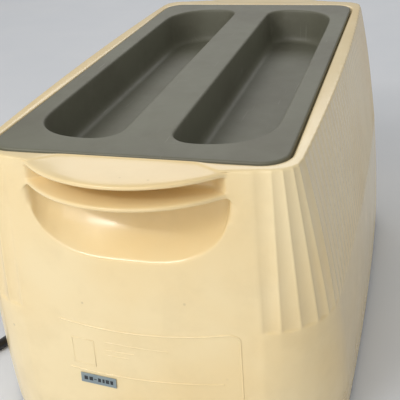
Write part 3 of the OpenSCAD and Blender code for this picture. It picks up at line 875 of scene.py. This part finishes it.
def rim_and_inside(p, x0, far):
    """Rows from the rim's top over the tray's seat and down the inner wall, for one column."""
    rows = []
    sy = 1 if far else -1
    rim = Vector((p[RIM_ROW - 1].x, sy * p[RIM_ROW - 1].y))
    edge, out = on_box(rim, HOLE)
    gap = (rim - edge).dot(out)
    for d, z in ((min(gap * 0.75, gap - 0.2), RIM), (min(1.0, gap * 0.3), RIM), (0.2, 194.0), (0.0, SEAT)):
        q = edge + out * d
        rows.append(Vector((q.x, sy * q.y, z)))
    seat, _ = on_box(edge, SEAT_HOLE)
    rows += [Vector((seat.x, sy * seat.y, SEAT)), Vector((seat.x, sy * seat.y, SEAT - 3))]
    on_end = x0 is not None
    for z, row in ((SEAT - 3, RIM_ROW - 5), (HANDLE_Z, HANDLE_ROW), (LEDGE, 8), (45, 3), (LIFT, 0)):
        x, y = p[row].x, p[row].y - END_WALL
        if not on_end:
            b = on_box(Vector((x, sy * p[row].y)), (half_w(z) - 60, half_l(z) - 60, 1.0, 0))[1]
            x, y = x - b.x * SIDE_WALL, p[row].y - sy * b.y * SIDE_WALL
        elif x0 < BEHIND_POCKET and z > 120:
            y = POCKET_BACK - 3.5
        elif far and x0 < BEHIND_RECESS and 40 < z < 105:
            y = RECESS_Y - 3.0
        rows.append(Vector((x, y, z)))
    return rows


def housing_cage():
    """Points of the whole shell row by row, with its counts and which columns are ridges."""
    table = ridge_table()
    quarter = wall_columns(table)
    n = len(quarter)
    loop = [(k, 1, -1) for k in range(n)] + [(k, 1, 1) for k in range(n - 2, -1, -1)]
    loop += [(k, -1, 1) for k in range(1, n)] + [(k, -1, -1) for k in range(n - 2, 0, -1)]
    columns, ridges = [], []
    for k, sx, sy in loop:
        column, is_ridge = quarter[k]
        x0 = PANEL[k] if k < len(PANEL) else None
        if sy > 0 and x0 is not None:
            column = recess(column, x0)
        full = column + rim_and_inside(column, x0, sy > 0)
        columns.append([Vector((sx * q.x, sy * q.y, q.z)) for q in full])
        ridges.append(is_ridge)
    rows = len(columns[0])
    points = [columns[k][j] for j in range(rows) for k in range(len(columns))]
    return points, rows, len(columns), ridges


class ERASER_OT_housing(bpy.types.Operator):
    """Moulds the fluted housing with its carry handles, rim and outlet recess"""

    bl_idname = "eraser.housing"
    bl_label = "Housing"

    def execute(self, context):
        points, rows, count, ridges = housing_cage()
        shell = mesh_object("housing_shell", points, grid_faces(rows, count))
        crease = shell.data.attributes.new("crease_edge", "FLOAT", "EDGE")
        ledge_row, top = 7, RIM_ROW - 2
        values = [0.0] * len(shell.data.edges)
        row = (ledge_row + 1) * count
        corner = {k for k, v in enumerate(ridges) if v and abs(points[row + k].y) > CORNER_Y}
        for e in shell.data.edges:
            a, b = e.vertices
            ja, jb = a // count, b // count
            up = a % count == b % count
            if up and ridges[a % count] and ledge_row <= min(ja, jb) and max(ja, jb) <= top:
                values[e.index] = 1.0 if a % count in corner else 0.75
        crease.data.foreach_set("value", values)
        paint(shell, shared(aged_cream))
        subdivide(shell, 1)
        place(shell, "base", "cream_abs", "housing")
        return {"FINISHED"}


# ---------------------------------------------------------------- tray

TRAY_Y = -5.0
TRAY_GAP = 0.4  # added to the clearance between the tray and the rim
TRAY_HALF_W, TRAY_HALF_L, TRAY_CORNER = 85.0, 175.0, 16.0
TROUGH_FLOOR, SKIN = 167.0, 2.3
LAND, TROUGH_W, TROUGH_HALF_L = 15.0, 56.0, 153.0


def rounded(points_per, corners):
    """Closed loop round corners given as (centre x, centre y, radius, first angle), counter-clockwise."""
    out = []
    for cx, cy, r, a0 in corners:
        for k in range(points_per + 1):
            a = math.radians(a0 + 90 * k / points_per)
            out.append((cx + r * math.cos(a), cy + r * math.sin(a)))
    return out


def trough_loop(grow):
    """Outline of the right-hand trough, grown or shrunk, with points on its long sides too."""
    x0, x1, y1 = LAND - grow, LAND + TROUGH_W + grow, TROUGH_HALF_L + grow
    ro, ri = max(34 + grow, 6), max(15 + grow, 2.0)
    if x1 - x0 < ro + ri:
        ro, ri = (x1 - x0) * 0.6, (x1 - x0) * 0.38
    corners = [
        (x1 - ro, y1 - ro, ro, 0), (x0 + ri, y1 - ri, ri, 90), (x0 + ri, -y1 + ri, ri, 180),
        (x1 - ro, -y1 + ro, ro, 270),
    ]
    return with_sides(rounded(5, corners))


def with_sides(loop):
    """Adds four even points on the two long sides of a loop of four rounded corners of six points."""
    a, b, c, d = loop[0:6], loop[6:12], loop[12:18], loop[18:24]
    left = [tuple(lerp(b[-1][i], c[0][i], k / 5) for i in (0, 1)) for k in range(1, 5)]
    right = [tuple(lerp(d[-1][i], a[0][i], k / 5) for i in (0, 1)) for k in range(1, 5)]
    return a + b + left + c + d + right


def half_tray_loop(inset):
    """Right half of the tray's outline, with its straight edge on the middle line."""
    x1, y1, r = TRAY_HALF_W - inset, TRAY_HALF_L - inset, TRAY_CORNER - inset
    loop = rounded(5, [(x1 - r, y1 - r, r, 0)])
    loop += [(lerp(x1 - r, 0, k / 5), y1) for k in (0.9, 1.9, 2.9, 3.7, 4.4, 5)]
    loop += [(0.0, lerp(y1, -y1, k / 5)) for k in range(1, 5)]
    loop += [(lerp(0, x1 - r, k / 5), -y1) for k in (0, 0.6, 1.3, 2.1, 3.1, 4.1)]
    loop += rounded(5, [(x1 - r, -y1 + r, r, 270)])
    loop += [(x1, lerp(-y1 + r, y1 - r, k / 5)) for k in range(1, 5)]
    return loop


class ERASER_OT_tray(bpy.types.Operator):
    """Moulds the lift-out tray with its two tool troughs"""

    bl_idname = "eraser.tray"
    bl_label = "Tray"

    def execute(self, context):
        s = context.scene.eraser_tray
        e, m = s.edge / MM, s.mouth / MM
        loops = [
            (half_tray_loop(TRAY_GAP), 190.1), (half_tray_loop(TRAY_GAP), TOP - e),
            (half_tray_loop(TRAY_GAP + e * 0.3), TOP - e * 0.3), (half_tray_loop(TRAY_GAP + e), TOP),
            (half_tray_loop(TRAY_GAP + e + 1.2), TOP),
            (trough_loop(m + 1.5), TOP), (trough_loop(m), TOP), (trough_loop(m * 0.45), TOP - m * 0.16),
            (trough_loop(m * 0.12), TOP - m * 0.5), (trough_loop(0), TOP - m * 1.1),
            (trough_loop(-0.5), 181), (trough_loop(-0.9), 173.6), (trough_loop(-1.5), 170.3),
            (trough_loop(-3.0), 167.9), (trough_loop(-5.4), 167.05),
        ]
        loops += [(trough_loop(-inset), TROUGH_FLOOR) for inset in (7, 15, 22)]
        n = len(loops[0][0])
        points = [(x, y + TRAY_Y, z) for loop, z in loops for x, y in loop]
        faces = []
        for j in range(len(loops) - 1):
            for k in range(n):
                a, b = j * n + k, j * n + (k + 1) % n
                on_middle = all(abs(points[i][0]) < 1e-6 for i in (a, b))
                if on_middle and j < 4:
                    continue
                faces.append((a, b, (j + 1) * n + (k + 1) % n, (j + 1) * n + k))
        last = (len(loops) - 1) * n
        # the floor's last strip: faces between its two long sides, from one end to the other
        order = [last + k for k in range(n)]
        i, j = 5, 6
        while True:
            i2, j2 = (i - 1) % n, (j + 1) % n
            if i2 == j2 or i == j2 or i2 == j:
                break
            faces.append((order[i2], order[i], order[j], order[j2]))
            i, j = i2, j2
            if (j + 1) % n == i or (j + 2) % n == i:
                break
        tray = mesh_object("tool_tray", points, faces)
        bm = bmesh.new()
        bm.from_mesh(tray.data)
        bmesh.ops.remove_doubles(bm, verts=bm.verts, dist=0.00002)
        bmesh.ops.recalc_face_normals(bm, faces=bm.faces)
        up = [f for f in bm.faces if f.calc_center_median().z > 0.1949]
        if up and sum(f.normal.z for f in up) < 0:
            bmesh.ops.reverse_faces(bm, faces=bm.faces)
        bm.to_mesh(tray.data)
        bm.free()
        add(tray, "MIRROR", use_axis=(True, False, False), use_clip=True, merge_threshold=0.00002)
        subdivide(tray, 2)
        add(tray, "SOLIDIFY", thickness=SKIN * MM, offset=-1, use_even_offset=True)
        paint(tray, shared(tray_grey))
        place(tray, "tray", "grey_abs", "tray")
        return {"FINISHED"}


# ---------------------------------------------------------------- label field

STICKER = (-26.3, 54.8)
STICKER_FACE = 0.36  # how far the printed bars stand off the sticker's middle
# middle, width and height of each printed bar that stands for a figure of the number
STICKER_BARS = (
    (-8.2, 2.4, 2.6), (-4.9, 2.4, 2.6), (-2.1, 1.6, 0.6), (0.6, 1.9, 2.6), (3.2, 1.4, 2.6),
    (5.8, 2.2, 2.6), (8.6, 1.8, 2.6),
)


def on_near_wall(x, z, out):
    """Point on the near wall, or that far out from it."""
    return Vector((x, -end_y(x, z) - out, z))


def evenly(a, b, steps):
    """Numbers from a to b, one step apart."""
    return [lerp(a, b, k / steps) for k in range(steps + 1)]


class ERASER_OT_label(bpy.types.Operator):
    """Raises the label frame on the near wall and sticks the number label on"""

    bl_idname = "eraser.label"
    bl_label = "Label Field"

    def execute(self, context):
        r = context.scene.eraser_housing.bead / MM
        side, top = 60.4, 91.5
        line = [(x, top + 0.0014 * x * x) for x in evenly(-47.5, side - 6, 30)]
        for k in range(4):
            a = math.radians(90 - 90 * (k + 0.5) / 4)
            line.append((side - 5 + 5 * math.cos(a), top + 0.2 + 4 * math.sin(a) * 0.9))
        line += [(side + 1.4 * k / 8, lerp(top - 5, 24, k / 8)) for k in range(9)]
        bar = [(x, 59.5 + 0.0008 * x * x) for x in evenly(-44, 50.5, 24)]
        strokes = {
            "label_frame": (line, r),
            "label_bar": (bar, r),
            "plain_frame": ([(-41, 83), (-27, 82.4), (-27, 64.6), (-41, 65.4)], 0.6),
            "rule_long": ([(-19.5, 82.9), (0, 82), (19.2, 81.5)], 0.4),
            "rule_middle": ([(-20.1, 77.4), (-11, 77.1), (-1.8, 76.9)], 0.4),
            "rule_short": ([(-20.4, 73.9), (-13, 73.7), (-5.2, 73.6)], 0.4),
        }
        for name, (points, radius) in strokes.items():
            row = [on_near_wall(x, z, -radius * 0.35) for x, z in points]
            bead = wire(name, row, radius, 3, cyclic=name == "plain_frame")
            paint(bead, shared(aged_cream))
            place(bead, "base", "cream_abs")
        sx, sz = STICKER
        on = (
            Matrix.Translation(on_near_wall(sx, sz, 0.25))
            @ Matrix.Rotation(math.asin(sx / END_CROWN), 4, "Z")
            @ Matrix.Rotation(-math.atan((BASE_L - TOP_L) / 2 / (SHOULDER - LIFT)), 4, "X")
            @ Matrix.Rotation(math.radians(2), 4, "Y")
        )
        marks, faces = [], []
        for x, w, h in STICKER_BARS:
            n = len(marks)
            around = ((-1, -1), (1, -1), (1, 1), (-1, 1))
            marks += [on @ Vector((x + i * w / 2, -STICKER_FACE, j * h / 2)) for i, j in around]
            faces.append((n, n + 1, n + 2, n + 3))
        number = mesh_object("sticker_marks", marks, faces, smooth=False)
        add(number, "SOLIDIFY", thickness=0.04 * MM, offset=-1)
        paint(number, shared(ink))
        place(number, "base", "foil_sticker")
        paint(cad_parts["identity_sticker"], shared(foil))
        return {"FINISHED"}


# ---------------------------------------------------------------- everything kept from the frame


class ERASER_OT_works(bpy.types.Operator):
    """Finishes the drive, the fixings and the fittings that keep their own shapes"""

    bl_idname = "eraser.works"
    bl_label = "Works"

    def execute(self, context):
        steel = shared(metal, "zinc_plate", (176, 178, 176), 0.34, None, (146, 140, 112), 0.35)
        bright = shared(metal, "ground_steel", (190, 192, 194), 0.2, (40, 900, 40))
        cast = shared(metal, "cast_alloy", (168, 170, 171), 0.46, None, (120, 120, 118), 0.4)
        brass = shared(metal, "turned_brass", (196, 164, 92), 0.26, (60, 1200, 60), (120, 92, 50), 0.35)
        painted = shared(metal, "painted_plate", (84, 88, 92), 0.42, None, (60, 62, 64), 0.5, 0.3)
        finishes = {
            "base_pan": steel, "motor_bracket": steel, "capacitor_strap": steel, "foot_screws": steel,
            "base_screws": steel, "motor_screws": steel, "spindle_screws": steel, "plate_screws": steel,
            "motor_stator": shared(laminated), "rotor_core": shared(laminated),
            "motor_windings": shared(enamelled_copper), "end_bell_near": cast, "end_bell_far": cast,
            "spindle_block": cast, "drive_pulley": cast, "driven_pulley": cast,
            "motor_bearings": bright, "spindle_bearings": bright, "motor_shaft": bright,
            "spindle_shaft": bright, "shaft_coupling": bright, "outlet_ferrule": brass,
            "terminal_screws": brass, "outlet_plate": painted,
            "cooling_fan": shared(moulded_black), "switch_frame": shared(moulded_black),
            "switch_rocker": shared(moulded_black), "drive_belt": shared(rubber),
            "terminal_block": shared(moulded_black, "white_nylon", (226, 224, 214), 0.4),
            "run_capacitor": shared(metal, "capacitor_can", (200, 202, 204), 0.28),
            "wiring": shared(moulded_black, "wire_red_brown", (122, 56, 42), 0.35),
        }
        for name in ("near_left", "near_right", "far_left", "far_right"):
            finishes["foot_" + name] = shared(rubber)
        for name, material in finishes.items():
            paint(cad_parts[name], material)
        return {"FINISHED"}


class ERASER_PT_panel(bpy.types.Panel):
    """Lists the pieces of the erasing machine's base"""

    bl_label = "Erasing Base"
    bl_idname = "ERASER_PT_panel"
    bl_space_type = "VIEW_3D"
    bl_region_type = "UI"
    bl_category = "Erasing Base"

    def draw(self, context):
        for group in ("eraser_stage", "eraser_housing", "eraser_tray", "eraser_cord"):
            box = self.layout.box()
            settings = getattr(context.scene, group)
            for key in settings.__annotations__:
                box.prop(settings, key)
        for step in STEPS:
            self.layout.operator("eraser." + step)


STEPS = ("stage", "cord", "housing", "tray", "label", "works")
GROUPS = {
    "eraser_stage": EraserStage, "eraser_housing": EraserHousing, "eraser_tray": EraserTray,
    "eraser_cord": EraserCord,
}
CLASSES = (
    *GROUPS.values(), ERASER_OT_stage, ERASER_OT_cord, ERASER_OT_housing, ERASER_OT_tray,
    ERASER_OT_label, ERASER_OT_works, ERASER_PT_panel,
)


def register():
    for c in CLASSES:
        bpy.utils.register_class(c)
    for name, group in GROUPS.items():
        setattr(bpy.types.Scene, name, bpy.props.PointerProperty(type=group))


def unregister():
    for name in GROUPS:
        delattr(bpy.types.Scene, name)
    for c in reversed(CLASSES):
        bpy.utils.unregister_class(c)


def main():
    register()
    for step in STEPS:
        getattr(bpy.ops.eraser, step)()


if __name__ == "__main__":
    main()
